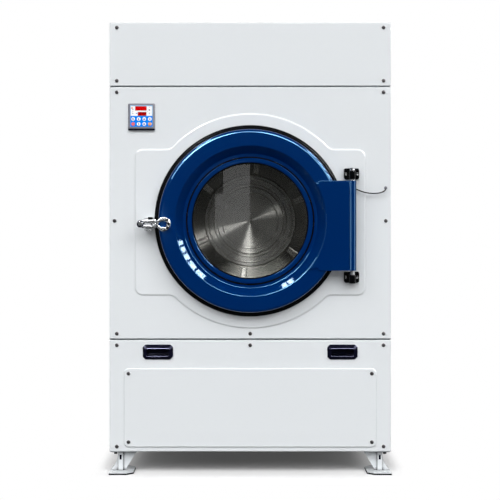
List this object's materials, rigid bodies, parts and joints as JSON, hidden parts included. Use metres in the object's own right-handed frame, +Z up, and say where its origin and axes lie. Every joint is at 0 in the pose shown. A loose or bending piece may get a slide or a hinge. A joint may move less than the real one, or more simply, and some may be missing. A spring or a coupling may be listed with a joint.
{
  "type": "industrial tumble dryer",
  "caption": "Free-standing industrial tumble dryer: white cabinet on feet, round glazed blue door, clasp latch, control unit, lint drawer, belt-driven drum, fan and rear exhaust.",
  "frame": {"origin": "on the floor, at the middle of the whole machine's footprint", "axes": "+X to the machine's right seen from the front, +Y to the back, +Z up"},
  "size_m": [1, 1.218, 1.605],
  "materials": {
    "white_enamel": "powder coat, satin",
    "blue_enamel": "gloss enamel",
    "door_glass": "clear toughened glass",
    "black_rubber": "moulded",
    "black_enamel": "gloss",
    "chrome": "polished",
    "bright_steel": "zinc plated",
    "dark_screw": "dark plated",
    "grey_plastic": "moulded",
    "black_plastic": "moulded",
    "cable_jacket": "extruded",
    "white_key": "moulded",
    "red_key": "moulded",
    "orange_key": "moulded",
    "stainless": "brushed",
    "galvanised": "galvanised",
    "machined_steel": "ground",
    "grey_iron": "painted grey",
    "fan_alloy": "cast",
    "heater_steel": "heat tinted"
  },
  "bodies": {
    "cabinet": {"header_panel": "white_enamel", "door_panel": "white_enamel", "side_panels": "white_enamel", "top_panel": "white_enamel", "rear_panel": "white_enamel", "feet": "white_enamel", "latch_buffer": "black_rubber", "cable_grommet": "black_rubber", "drive_belt": "black_rubber", "hinge_brackets": "black_enamel", "hinge_pin": "bright_steel", "latch_strike": "bright_steel", "hinge_bolts": "bright_steel", "foot_bolts": "bright_steel", "panel_screws": "dark_screw", "control_bezel": "grey_plastic", "control_housing": "black_plastic", "door_switch": "black_plastic", "cable_gland": "black_plastic", "switch_cable": "cable_jacket", "loading_collar": "stainless", "chassis_frame": "galvanised", "base_plate": "galvanised", "heater_box": "galvanised", "fan_housing": "galvanised", "exhaust_spigot": "galvanised", "bearing_blocks": "grey_iron", "drive_motor": "grey_iron", "fan_motor": "grey_iron", "heater_rods": "heater_steel"},
    "door": {"door_frame": "blue_enamel", "glass_clamp_ring": "blue_enamel", "glass_seal": "black_rubber", "door_glass": "door_glass", "glass_retainer": "stainless", "door_gasket": "black_rubber", "hinge_leaf": "blue_enamel", "latch_base": "chrome", "latch_pin": "bright_steel"},
    "latch": {"latch_arm": "chrome"},
    "drum": {"drum_shell": "stainless", "drum_lifters": "stainless", "drum_shaft": "machined_steel", "drum_pulley": "grey_iron"},
    "motor_rotor": {"motor_pulley": "grey_iron"},
    "fan": {"fan_impeller": "fan_alloy"},
    "lint_drawer": {"lower_panel": "white_enamel", "service_cover": "white_enamel", "lower_screws": "dark_screw", "pull_handles": "black_plastic", "lint_frame": "galvanised", "lint_screen": "stainless"},
    "button_1": {"key_1": "white_key"},
    "button_2": {"key_2": "white_key"},
    "button_3": {"key_3": "white_key"},
    "button_4": {"key_4": "white_key"},
    "button_5": {"key_5": "red_key"},
    "button_6": {"key_6": "white_key"},
    "button_7": {"key_7": "white_key"},
    "button_8": {"key_8": "orange_key"}
  },
  "joints": [
    {"name": "door_hinge", "type": "hinge", "parent": "cabinet", "child": "door", "pos_m": [0.359, -0.583, 0.883], "axis": [0, 0, 1], "range_deg": [0, 170]},
    {"name": "latch_hinge", "type": "hinge", "parent": "door", "child": "latch", "pos_m": [-0.338, -0.597, 0.889], "axis": [0, 0, 1], "range_deg": [0, 75]},
    {"name": "drum_spin", "type": "hinge", "parent": "cabinet", "child": "drum", "pos_m": [0, 0.369, 0.9], "axis": [0, 1, 0], "continuous": true},
    {"name": "motor_spin", "type": "hinge", "parent": "cabinet", "child": "motor_rotor", "pos_m": [0.25, 0.429, 0.33], "axis": [0, 1, 0], "continuous": true},
    {"name": "fan_spin", "type": "hinge", "parent": "cabinet", "child": "fan", "pos_m": [-0.28, 0.219, 0.3], "axis": [1, 0, 0], "continuous": true},
    {"name": "lint_drawer_slide", "type": "slide", "parent": "cabinet", "child": "lint_drawer", "axis": [0, -1, 0], "range_m": [0, 0.45]},
    {"name": "button_1_press", "type": "slide", "parent": "cabinet", "child": "button_1", "axis": [0, 1, 0], "range_m": [0, 0.0008], "stiffness_N_per_m": 400},
    {"name": "button_2_press", "type": "slide", "parent": "cabinet", "child": "button_2", "axis": [0, 1, 0], "range_m": [0, 0.0008], "stiffness_N_per_m": 400},
    {"name": "button_3_press", "type": "slide", "parent": "cabinet", "child": "button_3", "axis": [0, 1, 0], "range_m": [0, 0.0008], "stiffness_N_per_m": 400},
    {"name": "button_4_press", "type": "slide", "parent": "cabinet", "child": "button_4", "axis": [0, 1, 0], "range_m": [0, 0.0008], "stiffness_N_per_m": 400},
    {"name": "button_5_press", "type": "slide", "parent": "cabinet", "child": "button_5", "axis": [0, 1, 0], "range_m": [0, 0.0008], "stiffness_N_per_m": 400},
    {"name": "button_6_press", "type": "slide", "parent": "cabinet", "child": "button_6", "axis": [0, 1, 0], "range_m": [0, 0.0008], "stiffness_N_per_m": 400},
    {"name": "button_7_press", "type": "slide", "parent": "cabinet", "child": "button_7", "axis": [0, 1, 0], "range_m": [0, 0.0008], "stiffness_N_per_m": 400},
    {"name": "button_8_press", "type": "slide", "parent": "cabinet", "child": "button_8", "axis": [0, 1, 0], "range_m": [0, 0.0008], "stiffness_N_per_m": 400}
  ],
  "couplings": [
    {"joint": "motor_spin", "follows": "drum_spin", "ratio": 3.5714}
  ]
}
